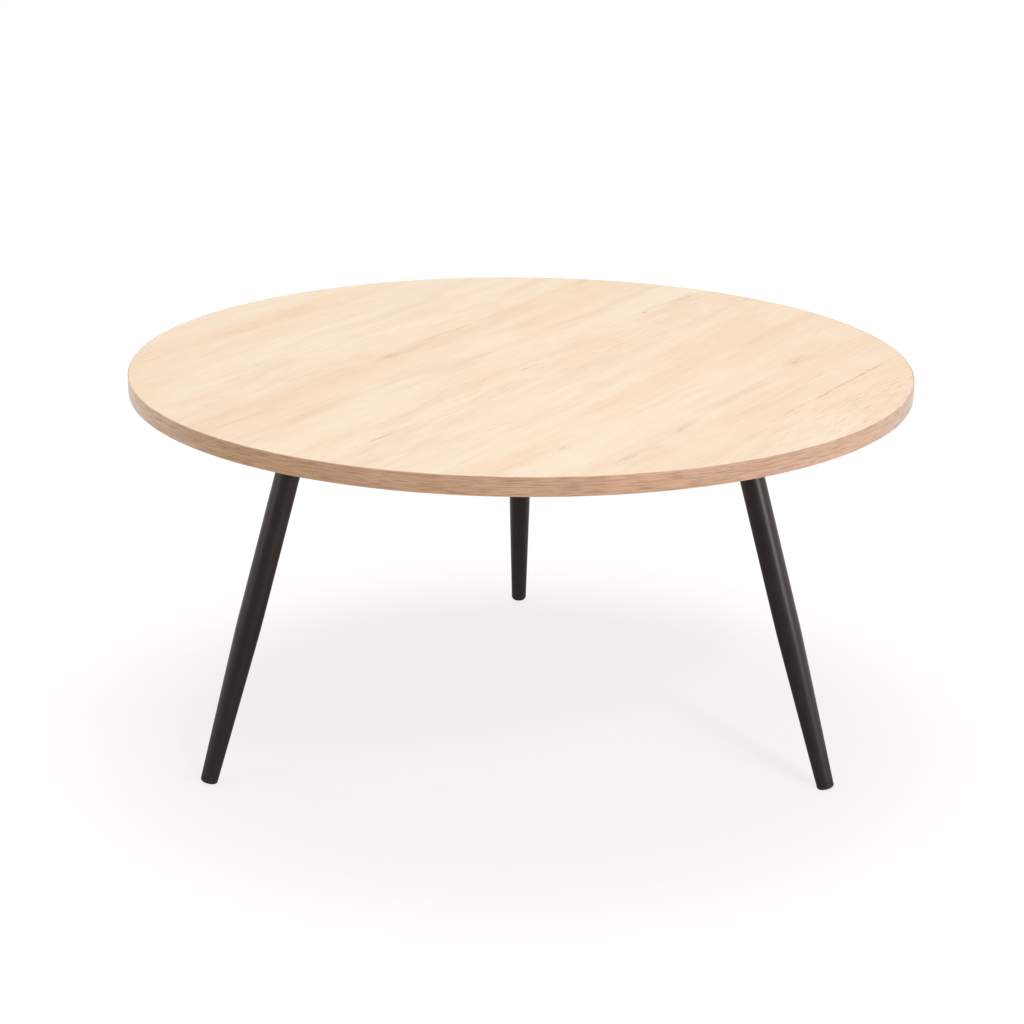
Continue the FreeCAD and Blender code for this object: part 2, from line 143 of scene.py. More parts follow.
class LegSettings(bpy.types.PropertyGroup):
    """Sizes and colours of the legs and what fastens them."""

    splay: turn("Splay", "Lean of a leg from upright", 17)
    taper: length("Taper", "Length of the swaged lower part", 160 * MM)
    wall: length("Wall", "Thickness of the tube", 1.5 * MM)
    foot_edge: length("Foot edge", "Radius on the tube's lower edge", 0.4 * MM)
    cap_head: length("Cap head", "Height of the cap below the tube", 5 * MM)
    cap_round: length("Cap rounding", "Radius on the cap's lower edge", 3 * MM)
    cap_seam: length("Cap seam", "Chamfer that shows as a line between cap and tube", 0.3 * MM)
    cap_fin: length("Cap fin", "Pitch of the gripping fins", 5 * MM)
    fins: IntProperty(name="Fins", description="Gripping fins on a cap's stem", default=4, min=1)
    ripples: IntProperty(name="Ripples", description="Ripples round a weld", default=56, min=8)
    coat: colour("Coat", "Powder coat of the steel", 42, 33, 29)
    cap: colour("Cap", "Moulded foot cap", 40, 32, 29)
    bolt: colour("Bolt", "Blackened bolts", 34, 34, 36)
    zinc: colour("Zinc", "Plated washers and inserts", 196, 198, 196)


class StageSettings(bpy.types.PropertyGroup):
    """Camera, lamps and floor."""

    lens: share("Lens", "Focal length in millimetres on a 36 mm sensor", 78.63)
    distance: length("Distance", "Camera's distance in front of the table", 2.2365)
    height: length("Height", "Camera's height above the floor", 0.9731)
    pitch: turn("Pitch", "Camera's tilt below the horizon", 18.336)
    pan: turn("Pan", "Camera's turn about the upright", 0.205)
    roll: turn("Roll", "Camera's turn about its own axis", 0.459)
    overhead: share("Overhead", "Power of the large lamp above, in watts", 31.3)
    key: share("Key", "Power of the high lamp at the front right, in watts", 15.0)
    strip: share("Strip", "Power of the low lamp at the front right, in watts", 20.0)
    fill: share("Fill", "Power of the broad lamp at the left, in watts", 9.8)
    ambient: share("Ambient", "Strength of the white all round", 0.28)
    floor: colour("Floor", "Pale floor", 240, 244, 247)
    floor_white: colour("Floor white", "White that lifts the floor where it is seen", 255, 251, 249)
    white_share: share("White share", "How far the floor is lifted to white where it is seen", 0.735)


class TableSettings(bpy.types.PropertyGroup):
    """All settings of the table."""

    top: PointerProperty(type=TopSettings)
    legs: PointerProperty(type=LegSettings)
    stage: PointerProperty(type=StageSettings)


# Surfaces on a grid


def grid_quads(rows, columns, close_rows=False, close_columns=True):
    """Quads of a grid numbered row by row. A closed direction joins its last line to its first."""
    row = np.arange(rows if close_rows else rows - 1)
    column = np.arange(columns if close_columns else columns - 1)
    row, column = np.meshgrid(row, column, indexing="ij")
    row_after = (row + 1) % rows
    column_after = (column + 1) % columns
    corners = (
        row * columns + column,
        row * columns + column_after,
        row_after * columns + column_after,
        row_after * columns + column,
    )
    return np.stack(corners, axis=-1).reshape(-1, 4)


def pole_fan(pole, ring):
    """Triangles from one point to each edge of a closed ring of points."""
    return np.stack((np.full(len(ring), pole), ring, np.roll(ring, -1)), axis=-1)


def even_angles(count):
    """Angles of a full turn in equal steps, without the last one."""
    return np.arange(count) * FULL_TURN / count


def arc(centre, radius, first, last, count):
    """Points (radius, height) on an arc of a profile: centre plus radius times cosine and sine."""
    angle = np.linspace(first, last, count)
    return np.stack((centre[0] + radius * np.cos(angle), centre[1] + radius * np.sin(angle)), axis=-1)


def spun(profile, angles):
    """Carries a profile (radius, height) round the Z axis: x and y are the radius times the
    cosine and sine of the angle, z is the height. Rows follow the profile."""
    radius, height = profile[:, :1], profile[:, 1:2]
    flat = np.ones_like(angles)
    return np.stack((radius * np.cos(angles), radius * np.sin(angles), height * flat), axis=-1)


def spun_solid(profile, columns):
    """A solid of revolution whose profile starts and ends on the axis: a grid between two poles."""
    grid = spun(profile[1:-1], even_angles(columns))
    rows = len(grid)
    points = np.concatenate((grid.reshape(-1, 3), [[0, 0, profile[0, 1]], [0, 0, profile[-1, 1]]]))
    ring = np.arange(columns)
    first_fan = pole_fan(rows * columns, ring[::-1])
    last_fan = pole_fan(rows * columns + 1, ring + (rows - 1) * columns)
    return points, grid_quads(rows, columns).tolist() + first_fan.tolist() + last_fan.tolist()


def new_piece(name, points, faces, uv=None):
    """Puts arrays of points and faces into a mesh at the origin, smooth apart from its crisp edges."""
    mesh = bpy.data.meshes.new(name)
    mesh.from_pydata(points.tolist(), [], faces)
    if uv is not None:
        mesh.uv_layers.new(name="along").uv.foreach_set("vector", uv.astype(np.float32).ravel())
    mesh.shade_smooth()
    mesh.set_sharp_from_angle(angle=CRISP_BEND)
    piece = bpy.data.objects.new(name, mesh)
    bpy.context.scene.collection.objects.link(piece)
    return piece


def seat(piece, node, material):
    """Lets a new piece stand for a node and finish."""
    piece.data.materials.append(material)
    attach(piece, "root")
    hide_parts(node)


def dress(node, material):
    """Gives a carried-over node its finish."""
    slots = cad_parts[node].material_slots
    if not slots:
        raise RuntimeError(f"{node} has no material slot")
    for slot in slots:
        slot.material = material


# Shader nodes

# Step between nodes in the editor
NODE_STEP = 220


class Shading:
    """Adds nodes and links to one shader node tree."""

    def __init__(self, tree):
        self.tree = tree

    def add(self, kind, inputs=None, **settings):
        """Adds a node, sets it, and feeds its inputs from values or from other sockets."""
        node = self.tree.nodes.new(kind)
        node.location = (NODE_STEP * len(self.tree.nodes), 0)
        for key, value in settings.items():
            setattr(node, key, value)
        for key, value in (inputs or {}).items():
            self.feed(node.inputs[key], value)
        return node

    def feed(self, socket, value):
        """Links a socket to another one, or sets its value."""
        if isinstance(value, bpy.types.NodeSocket):
            self.tree.links.new(value, socket)
        elif socket.type == "RGBA":
            socket.default_value = (*value[:3], 1)
        else:
            socket.default_value = value

    def math(self, operation, first, second=0.0):
        """Works out a number from one or two numbers."""
        return self.add("ShaderNodeMath", {0: first, 1: second}, operation=operation).outputs[0]

    def vector(self, operation, first, second):
        """Works out a vector from two vectors."""
        return self.add("ShaderNodeVectorMath", {0: first, 1: second}, operation=operation).outputs[0]

    def measure(self, operation, first, second=(0, 0, 0)):
        """Works out a number from one or two vectors."""
        inputs = {0: first, 1: second}
        return self.add("ShaderNodeVectorMath", inputs, operation=operation).outputs["Value"]

    def mix(self, factor, first, second):
        """Blends two colours: inputs 6 and 7 of a Mix node, and its output 2."""
        return self.add("ShaderNodeMix", {0: factor, 6: first, 7: second}, data_type="RGBA").outputs[2]

    def blend(self, factor, first, second):
        """Blends two numbers: inputs 2 and 3 of a Mix node, and its output 0."""
        return self.add("ShaderNodeMix", {0: factor, 2: first, 3: second}).outputs[0]

    def fade(self, value, low, high, to_low=0.0, to_high=1.0):
        """Takes a value smoothly from one range to another."""
        inputs = {"Value": value, "From Min": low, "From Max": high, "To Min": to_low, "To Max": to_high}
        return self.add("ShaderNodeMapRange", inputs, interpolation_type="SMOOTHSTEP").outputs[0]

    def group(self, name, inputs):
        """Places a shared group with its own values."""
        return self.add("ShaderNodeGroup", inputs, node_tree=shared_group(name)).outputs

    def noise(self, place, along, across, detail, seed):
        """Noise drawn out along the grain, by its counts along and across."""
        inputs = {"Vector": place, "Along": along, "Across": across, "Detail": detail, "Seed": seed}
        return self.group("stretched_noise", inputs)["Value"]


SOCKETS = {"vector": "NodeSocketVector", "value": "NodeSocketFloat"}


def new_group(name, inputs, outputs):
    """Starts a shader node group with named sockets."""
    tree = bpy.data.node_groups.new(name, "ShaderNodeTree")
    for way, sockets in (("INPUT", inputs), ("OUTPUT", outputs)):
        for label, kind in sockets.items():
            tree.interface.new_socket(name=label, in_out=way, socket_type=SOCKETS[kind])
    shading = Shading(tree)
    return shading, shading.add("NodeGroupInput").outputs, shading.add("NodeGroupOutput").inputs


def stretched_noise_group():
    """Noise drawn out along the grain: the place is scaled by the counts along and across."""
    inputs = {"Vector": "vector", "Along": "value", "Across": "value", "Detail": "value", "Seed": "value"}
    nodes, given, put = new_group("stretched_noise", inputs, {"Value": "value"})
    counts = nodes.add("ShaderNodeCombineXYZ", {"X": given["Along"], "Y": given["Across"], "Z": 1.0})
    start = nodes.add("ShaderNodeCombineXYZ", dict.fromkeys("XYZ", given["Seed"]))
    place = nodes.vector("MULTIPLY", given["Vector"], counts.outputs[0])
    place = nodes.vector("ADD", place, start.outputs[0])
    noise = nodes.add("ShaderNodeTexNoise", {"Vector": place, "Scale": 1.0, "Detail": given["Detail"]})
    nodes.feed(put["Value"], noise.outputs[0])


def grain_mark_group():
    """A long soft mark: one at its place, falling to nothing at an ellipse of its length and width."""
    inputs = {"Vector": "vector", "Place": "vector", "Length": "value", "Width": "value"}
    nodes, given, put = new_group("grain_mark", inputs, {"Mask": "value"})
    reach = nodes.add("ShaderNodeCombineXYZ", {"X": given["Length"], "Y": given["Width"], "Z": 1.0})
    away = nodes.vector("SUBTRACT", given["Vector"], given["Place"])
    flat = nodes.vector("MULTIPLY", nodes.vector("DIVIDE", away, reach.outputs[0]), (1, 1, 0))
    nodes.feed(put["Mask"], nodes.fade(nodes.measure("LENGTH", flat), 0.0, 1.0, 1.0, 0.0))


def oak_fibre_group():
    """Fine lines, pores and split lines of oak, for a place with the grain along its X."""
    inputs = {"Vector": "vector", "Scale": "value", "Seed": "value"}
    outputs = {"Fibre": "value", "Pore": "value", "Split": "value", "Height": "value"}
    nodes, given, put = new_group("oak_fibre", inputs, outputs)
    values = {0: given["Vector"], "Scale": given["Scale"]}
    place = nodes.add("ShaderNodeVectorMath", values, operation="SCALE").outputs[0]

    def noise(along, across, detail, step):
        return nodes.noise(place, along, across, detail, nodes.math("ADD", given["Seed"], step))

    fibre = noise(16.0, 620.0, 3.0, 1.7)
    zone = nodes.fade(noise(2.0, 14.0, 1.0, 5.1), 0.36, 0.66)
    pore = nodes.math("MULTIPLY", nodes.fade(noise(34.0, 640.0, 2.0, 8.3), 0.54, 0.70), zone)
    contour = nodes.math("ABSOLUTE", nodes.math("SUBTRACT", noise(0.8, 22.0, 1.0, 12.9), 0.5))
    broken = nodes.fade(noise(7.0, 90.0, 1.0, 15.2), 0.46, 0.64)
    split = nodes.math("MULTIPLY", nodes.fade(contour, 0.0, 0.010, 1.0, 0.0), broken)
    nodes.feed(put["Fibre"], fibre)
    nodes.feed(put["Pore"], pore)
    nodes.feed(put["Split"], split)
    sunk = nodes.math("ADD", nodes.math("MULTIPLY", pore, 0.7), split)
    nodes.feed(put["Height"], nodes.math("SUBTRACT", nodes.math("MULTIPLY", fibre, 0.35), sunk))


def skin_group():
    """Fine pebbled skin of a coat, a moulding or a plating: two noises, one twelve times finer."""
    inputs = {"Vector": "vector", "Scale": "value"}
    outputs = {"Height": "value", "Cloud": "value"}
    nodes, given, put = new_group("pebbled_skin", inputs, outputs)
    place = given["Vector"]
    fine = nodes.add("ShaderNodeTexNoise", {"Vector": place, "Scale": given["Scale"], "Detail": 2.0})
    wide = nodes.math("DIVIDE", given["Scale"], 12.0)
    cloud = nodes.add("ShaderNodeTexNoise", {"Vector": place, "Scale": wide, "Detail": 3.0})
    nodes.feed(put["Height"], fine.outputs[0])
    nodes.feed(put["Cloud"], cloud.outputs[0])


GROUPS = {
    "stretched_noise": stretched_noise_group,
    "grain_mark": grain_mark_group,
    "oak_fibre": oak_fibre_group,
    "pebbled_skin": skin_group,
}


def shared_group(name):
    """A shared node group, built when it is first asked for."""
    if name not in bpy.data.node_groups:
        GROUPS[name]()
    return bpy.data.node_groups[name]


def bare_material(name):
    """Starts a material that has no shader yet: the material and its nodes."""
    material = bpy.data.materials.new(name)
    material.use_nodes = True
    material.node_tree.nodes.clear()
    return material, Shading(material.node_tree)


def new_material(name):
    """Starts a material: its nodes and its shader, already joined to the surface."""
    material, nodes = bare_material(name)
    shader = nodes.add("ShaderNodeBsdfPrincipled")
    nodes.add("ShaderNodeOutputMaterial", {"Surface": shader.outputs[0]})
    return material, nodes, shader.inputs


def bump(nodes, sockets, height, distance, strength=1.0):
    """Joins a height to the shader's normal."""
    inputs = {"Height": height, "Distance": distance, "Strength": strength}
    nodes.feed(sockets["Normal"], nodes.add("ShaderNodeBump", inputs).outputs[0])


# Oak finishes, with places and lengths in metres

# Values that most of a noise lies between
NOISE_RANGE = (0.30, 0.70)

# Sways of the print across the grain: counts along and across, and width
SLOW_SWAY = (3.5, 9.0, 30 * MM)
MARK_SWAY = (12.0, 40.0, 6 * MM)
RAGGED_SWAY = (90.0, 60.0, 4 * MM)
FIBRE_SWAY = (90.0, 60.0, 2.5 * MM)

# Broad bands of the print: colour, place along and across the grain, half length, half width, strength
BANDS = (
    ("orange", -0.02, 0.328, 0.42, 0.042, 0.55),
    ("orange", -0.30, 0.300, 0.25, 0.030, 0.35),
    ("cream", 0.05, 0.235, 0.50, 0.050, 0.55),
    ("brown", 0.02, 0.122, 0.34, 0.030, 0.07),
    ("orange", -0.16, 0.118, 0.22, 0.040, 0.30),
    ("cream", 0.05, 0.066, 0.42, 0.034, 0.60),
    ("orange", -0.06, 0.000, 0.34, 0.034, 0.45),
    ("orange", -0.36, -0.012, 0.16, 0.022, 0.40),
    ("cream", 0.20, -0.085, 0.34, 0.055, 0.45),
    ("orange", -0.20, -0.118, 0.16, 0.050, 0.25),
    ("orange", -0.06, -0.166, 0.26, 0.030, 0.65),
    ("orange", 0.20, -0.155, 0.20, 0.026, 0.50),
    ("orange", -0.28, -0.182, 0.16, 0.024, 0.75),
    ("cream", 0.00, -0.212, 0.30, 0.018, 0.55),
    ("brown", 0.02, -0.246, 0.32, 0.014, 0.10),
    ("cream", 0.12, -0.285, 0.26, 0.026, 0.35),
)

# Cloudy streaks: colour, counts along and across with detail and seed, limits of the noise, strength
STREAKS = (
    ("orange", (4.0, 29.0, 2.0, 31.0), (0.42, 0.72), 0.44),
    ("cream", (9.0, 32.0, 2.0, 36.0), (0.45, 0.70), 0.42),
    ("brown", (6.0, 48.0, 2.5, 51.0), (0.50, 0.74), 0.13),
)

# Patch at the front right where the pores are open: place along and across, half length, half width
OPEN_PORES = (0.0, -0.34, 0.50, 0.17)

# Dark lines, splits and small knots: place along and across, half length, half width, strength
MARKS = (
    (0.105, -0.315, 0.240, 0.0026, 0.66),
    (-0.060, -0.322, 0.120, 0.0016, 0.26),
    (0.345, -0.002, 0.055, 0.0080, 0.40),
    (0.300, 0.004, 0.110, 0.0050, 0.16),
    (0.262, 0.001, 0.007, 0.0042, 0.42),
    (-0.045, 0.123, 0.060, 0.0085, 0.30),
    (0.090, 0.132, 0.200, 0.0030, 0.30),
    (0.160, -0.236, 0.045, 0.0120, 0.25),
    (0.156, -0.238, 0.014, 0.0045, 0.34),
    (-0.125, -0.258, 0.045, 0.0080, 0.22),
    (-0.128, -0.256, 0.012, 0.0036, 0.26),
    (-0.240, -0.262, 0.060, 0.0080, 0.24),
    (-0.244, -0.260, 0.014, 0.0036, 0.26),
    (0.020, -0.242, 0.170, 0.0050, 0.17),
    (-0.242, -0.198, 0.014, 0.0050, 0.34),
    (-0.178, 0.108, 0.009, 0.0046, 0.30),
    (-0.300, -0.042, 0.075, 0.0024, 0.42),
    (-0.020, -0.022, 0.036, 0.0020, 0.40),
    (0.360, 0.140, 0.026, 0.0070, 0.24),
    (-0.160, 0.212, 0.022, 0.0040, 0.20),
    (0.245, -0.285, 0.060, 0.0044, 0.16),
)

# Stretch of the edging strip over which it turns pinker and darker, from its joint. Past it the strip
# is partly the print's own tone and partly painted shade, on the side that the front-right lamps light
# most
PINK_AND_SHADE_STRETCH = (0.85, 1.40)

# Chips of the board to a metre, along X, Y and Z
CHIP_COUNTS = (260, 420, 900)


def grain_place(nodes, angle):
    """Object place turned so that its X runs with the grain."""
    place = nodes.add("ShaderNodeTexCoord").outputs["Object"]
    inputs = {"Vector": place, "Rotation": (0, 0, -angle)}
    return nodes.add("ShaderNodeMapping", inputs, vector_type="POINT").outputs[0]


def swaying(nodes, place, along, across, width):
    """A grain place moved across the grain by a slow noise, up to about half of the width each way."""
    noise = nodes.math("SUBTRACT", nodes.noise(place, along, across, 1.0, 3.0), 0.5)
    move = nodes.add("ShaderNodeCombineXYZ", {"Y": nodes.math("MULTIPLY", noise, width)})
    return nodes.vector("ADD", place, move.outputs[0])


def grain_mark(nodes, place, along, across, half_length, half_width):
    """Mask of one long soft mark of the print."""
    inputs = {"Vector": place, "Place": (along, across, 0), "Length": half_length, "Width": half_width}
    return nodes.group("grain_mark", inputs)["Mask"]


def tinted(nodes, wood, shade, mask, strength):
    """Wood moved towards a shade where a mask is."""
    return nodes.mix(nodes.math("MULTIPLY", mask, strength), wood, shade)


def oak_decor(top):
    """Printed oak of the top: broad bands, streaks, fibres, pores, splits and small knots."""
    material, nodes, sockets = new_material("oak_decor_print")
    shades = {"cream": top.cream, "orange": top.orange, "brown": top.brown}
    straight = grain_place(nodes, top.grain_angle)
    place = swaying(nodes, straight, *SLOW_SWAY)
    marked = swaying(nodes, swaying(nodes, straight, *MARK_SWAY), *RAGGED_SWAY)
    jagged = swaying(nodes, place, *FIBRE_SWAY)

    usual = nodes.fade(nodes.noise(place, 1.6, 11.0, 2.0, 0.0), 0.32, 0.68)
    wood = nodes.mix(usual, top.cream, top.tan)
    fleck = nodes.fade(nodes.noise(place, 5.0, 40.0, 1.5, 21.0), *NOISE_RANGE, 0.4, 1.4)
    for shade, *spot, strength in BANDS:
        mask = nodes.math("MULTIPLY", grain_mark(nodes, marked, *spot), strength)
        wood = tinted(nodes, wood, shades[shade], mask, fleck)
    for shade, counts, limits, strength in STREAKS:
        streak = nodes.fade(nodes.noise(place, *counts), *limits)
        wood = tinted(nodes, wood, shades[shade], streak, strength)

    detail = nodes.group("oak_fibre", {"Vector": jagged, "Scale": 1.0, "Seed": 0.0})
    wood = nodes.mix(nodes.fade(detail["Fibre"], *NOISE_RANGE, 0.0, 0.09), wood, top.brown)
    open_pores = nodes.fade(grain_mark(nodes, straight, *OPEN_PORES), 0.0, 1.0, 0.18, 0.38)
    wood = tinted(nodes, wood, top.brown, detail["Pore"], open_pores)
    wood = tinted(nodes, wood, top.brown, detail["Split"], 0.14)
    rough_edge = nodes.fade(nodes.noise(place, 55.0, 420.0, 3.0, 41.0), 0.38, 0.58, 0.2, 1.15)
    for *spot, strength in MARKS:
        mask = nodes.math("MULTIPLY", grain_mark(nodes, marked, *spot), strength)
        wood = tinted(nodes, wood, top.brown, mask, rough_edge)

    nodes.feed(sockets["Base Color"], wood)
    nodes.feed(sockets["Roughness"], nodes.fade(detail["Fibre"], *NOISE_RANGE, 0.46, 0.56))
    sockets["IOR"].default_value = 1.45
    bump(nodes, sockets, detail["Height"], 0.16 * MM, 0.8)
    return material


def oak_backing(top):
    """Plainer printed oak of the sheet below."""
    material, nodes, sockets = new_material("oak_backing_print")
    place = swaying(nodes, grain_place(nodes, top.grain_angle), *SLOW_SWAY)
    band = nodes.fade(nodes.noise(place, 1.8, 18.0, 3.0, 61.0), *NOISE_RANGE)
    detail = nodes.group("oak_fibre", {"Vector": place, "Scale": 1.2, "Seed": 60.0})
    wood = tinted(nodes, top.backing, top.orange, band, 0.5)
    wood = nodes.mix(nodes.fade(detail["Fibre"], *NOISE_RANGE, 0.0, 0.14), wood, top.brown)
    wood = tinted(nodes, wood, top.brown, detail["Pore"], 0.35)
    wood = tinted(nodes, wood, top.brown, detail["Split"], 0.30)
    nodes.feed(sockets["Base Color"], wood)
    nodes.feed(sockets["Roughness"], nodes.fade(detail["Fibre"], *NOISE_RANGE, 0.55, 0.68))
    bump(nodes, sockets, detail["Height"], 0.05 * MM, 0.6)
    return material


def oak_edging(top):
    """Edging strip: short dark lines along its length, on a map unrolled along the strip, under a thin
    clear lacquer. Towards its right side it turns pinker and darker: partly the print's tone, partly
    painted shade that offsets the lamps at the front right."""
    material, nodes, sockets = new_material("oak_edging_print")
    place = nodes.add("ShaderNodeUVMap", uv_map="along").outputs[0]
    lines = nodes.fade(nodes.noise(place, 18.0, 600.0, 3.0, 70.0), 0.34, 0.70)
    dashes = nodes.fade(nodes.noise(place, 42.0, 900.0, 2.0, 75.0), 0.48, 0.60)
    cloud = nodes.fade(nodes.noise(place, 6.0, 60.0, 2.0, 79.0), *NOISE_RANGE)
    along = nodes.add("ShaderNodeSeparateXYZ", {0: place}).outputs["X"]
    # Pinker and darker towards the right side: partly the print's tone, partly painted shade against the
    # front-right lamps
    tone_and_shade_drift = nodes.fade(along, *PINK_AND_SHADE_STRETCH, -0.35, 0.35)
    pink = nodes.fade(nodes.noise(place, 5.0, 30.0, 2.0, 83.0), 0.36, 0.64, 0.32, 0.58)
    wood = nodes.mix(nodes.math("ADD", pink, tone_and_shade_drift), top.edging, top.edging_pink_and_shade)
    wood = tinted(nodes, wood, top.edging_dark, lines, 0.30)
    wood = tinted(nodes, wood, top.edging_dark, dashes, 0.48)
    wood = tinted(nodes, wood, top.orange, cloud, 0.12)
    nodes.feed(sockets["Base Color"], wood)
    nodes.feed(sockets["Roughness"], nodes.fade(lines, 0.0, 1.0, 0.32, 0.44))
    sockets["Coat Weight"].default_value = 0.4
    sockets["Coat Roughness"].default_value = 0.1
    height = nodes.math("MULTIPLY", nodes.math("ADD", lines, dashes), -1.0)
    bump(nodes, sockets, height, 0.04 * MM, 0.6)
    return material


def particleboard(top):
    """Pressed chips: long, flat cells with a shade each."""
    material, nodes, sockets = new_material("pressed_chips")
    place = nodes.add("ShaderNodeTexCoord").outputs["Object"]
    long_chip = nodes.add("ShaderNodeMapping", {"Vector": place, "Scale": CHIP_COUNTS}).outputs[0]
    cells = nodes.add("ShaderNodeTexVoronoi", {"Vector": long_chip, "Scale": 1.0})
    shade = nodes.add("ShaderNodeSeparateColor", {0: cells.outputs["Color"]}).outputs[0]
    wood = nodes.mix(nodes.math("MULTIPLY", shade, 0.55), top.chip, top.brown)
    nodes.feed(sockets["Base Color"], wood)
    nodes.feed(sockets["Roughness"], nodes.fade(shade, 0.0, 1.0, 0.75, 0.9))
    bump(nodes, sockets, cells.outputs["Distance"], 0.3 * MM, 0.5)
    return material


# Leg finishes


def skinned(name, base, lifted, scale, rough, depth):
    """A finish with a pebbled skin. Its colour drifts with the cloud, and its roughness and bump follow
    the pebbles."""
    material, nodes, sockets = new_material(name)
    place = nodes.add("ShaderNodeTexCoord").outputs["Object"]
    skin = nodes.group("pebbled_skin", {"Vector": place, "Scale": scale})
    cloud = nodes.fade(skin["Cloud"], *NOISE_RANGE)
    nodes.feed(sockets["Base Color"], nodes.mix(cloud, base, lifted))
    nodes.feed(sockets["Roughness"], nodes.fade(skin["Height"], 0.25, 0.75, *rough))
    bump(nodes, sockets, skin["Height"], depth)
    return material, sockets


def lighter(base, amount):
    """A colour moved towards white."""
    return tuple(part + (1 - part) * amount for part in base)


def powder_coat(legs):
    """Satin black powder coat with a fine pebble."""
    lifted = lighter(legs.coat, 0.004)
    return skinned("satin_powder_coat", legs.coat, lifted, 1000.0, (0.34, 0.44), 0.06 * MM)[0]


def cap_plastic(legs):
    """Dull moulded plastic of the foot caps."""
    lifted = lighter(legs.cap, 0.010)
    return skinned("moulded_plastic", legs.cap, lifted, 2500.0, (0.50, 0.62), 0.03 * MM)[0]


def plated(name, base, rough):
    """Plated or blackened steel."""
    material, sockets = skinned(name, base, lighter(base, 0.04), 3000.0, rough, 0.02 * MM)
    sockets["Metallic"].default_value = 1.0
    return material


def shared_coat(legs):
    """The coat that tubes, welds and plates share."""
    return bpy.data.materials.get("satin_powder_coat") or powder_coat(legs)


# The top


def sheet_profile(arris):
    """Half section of the top sheet, from the axis below, past its softened edge, to the axis above."""
    low, high = SHEET_LOW.z, SHEET_HIGH.z
    inward = np.linspace(0, BOARD_RADIUS - arris, SHEET_ROWS)
    under = [(0, low), (BOARD_RADIUS / 2, low), (BOARD_RADIUS, low)]
    edge = [(BOARD_RADIUS, high - arris)]
    over = [(radius, high) for radius in inward[::-1]]
    return np.array(under + edge + over)


def strip_profile(edge):
    """Closed section of the edging strip: a thin upright bar with its outer corners rounded."""
    inner, outer = BOARD_RADIUS, RIM_RADIUS
    low, high = RIM_LOW.z, RIM_HIGH.z
    lower = arc((outer - edge, low + edge), edge, -np.pi / 2, 0, STRIP_CORNER_ROWS)
    upper = arc((outer - edge, high - edge), edge, 0, np.pi / 2, STRIP_CORNER_ROWS)
    return np.concatenate(([(inner, low)], lower, upper, [(inner, high)]))


def edging_strip(top, columns=STRIP_COLUMNS):
    """Carries the section once round the rim, from one end of the strip to the other, and closes both
    ends. Its map runs along the rim and round the section, in metres."""
    profile = strip_profile(top.strip_round)
    rows = len(profile)
    half_gap = top.strip_joint / 2 / RIM_RADIUS
    angles = top.joint_place + np.linspace(half_gap, FULL_TURN - half_gap, columns)
    points = spun(profile, angles).reshape(-1, 3)
    quads = grid_quads(rows, columns, close_rows=True, close_columns=False)
    ends = np.stack((np.arange(rows)[::-1] * columns, np.arange(rows) * columns + columns - 1))
    steps = np.linalg.norm(np.roll(profile, -1, axis=0) - profile, axis=1)
    round_section = np.concatenate(([0], np.cumsum(steps)))
    along = (angles - angles[0]) * RIM_RADIUS
    row, column = np.divmod(np.arange(rows * (columns - 1)), columns - 1)
    quad_uv = np.stack(
        (
            np.stack((along[column], round_section[row]), axis=-1),
            np.stack((along[column + 1], round_section[row]), axis=-1),
            np.stack((along[column + 1], round_section[row + 1]), axis=-1),
            np.stack((along[column], round_section[row + 1]), axis=-1),
        ),
        axis=1,
    )
    end_uv = np.stack((np.zeros(2 * rows), np.tile(round_section[:-1], 2)), axis=-1)
    uv = np.concatenate((quad_uv.reshape(-1, 2), end_uv))
    return points, quads.tolist() + ends.tolist(), uv


class TopSheet(bpy.types.Operator):
    """Makes the oak decor sheet, a thin disc with a softened edge"""

    bl_idname = "cocktail_table.top_sheet"
    bl_label = "Top sheet"

    def execute(self, context):
        top = context.scene.cocktail_table.top
        points, faces = spun_solid(sheet_profile(top.arris), SHEET_COLUMNS)
        seat(new_piece("top_sheet", points, faces), "top_laminate", oak_decor(top))
        return {"FINISHED"}


class EdgeStrip(bpy.types.Operator):
    """Makes the edging strip, with its joint at the back"""

    bl_idname = "cocktail_table.edge_strip"
    bl_label = "Edging strip"

    def execute(self, context):
        top = context.scene.cocktail_table.top
        points, faces, uv = edging_strip(top)
        piece = new_piece("edging_strip", points, faces, uv)
        seat(piece, "edge_band", oak_edging(top))
        return {"FINISHED"}


class BoardInside(bpy.types.Operator):
    """Finishes the particleboard and the sheet below it"""

    bl_idname = "cocktail_table.board_inside"
    bl_label = "Board and backing"

    def execute(self, context):
        top = context.scene.cocktail_table.top
        dress("top_core", particleboard(top))
        dress("backing_laminate", oak_backing(top))
        return {"FINISHED"}


# The legs

# Share of the taper over which the tube's change of slope is softened
SWAGE_SOFTNESS = 0.03

# Length of tube that has close rows of points, as a share of the taper
CLOSE_ROWS = 1.15

# Weld bead as shares of its size: usual size, ripple, and slow swells (depth, count, start)
WELD_FULLNESS = 0.94
WELD_RIPPLE = 0.05
WELD_SWELLS = ((0.03, 5, 1.0), (0.02, 11, 0.0))

# How far the ripple's crests bend back, in radians
WELD_BEND = 1.6

# Power that flattens the bead's section, from 1 for a quarter round to 2 for a straight slope
WELD_FLATNESS = 1.5

# Share of the fins' pitch that a fin takes
FIN_SHARE = 0.2


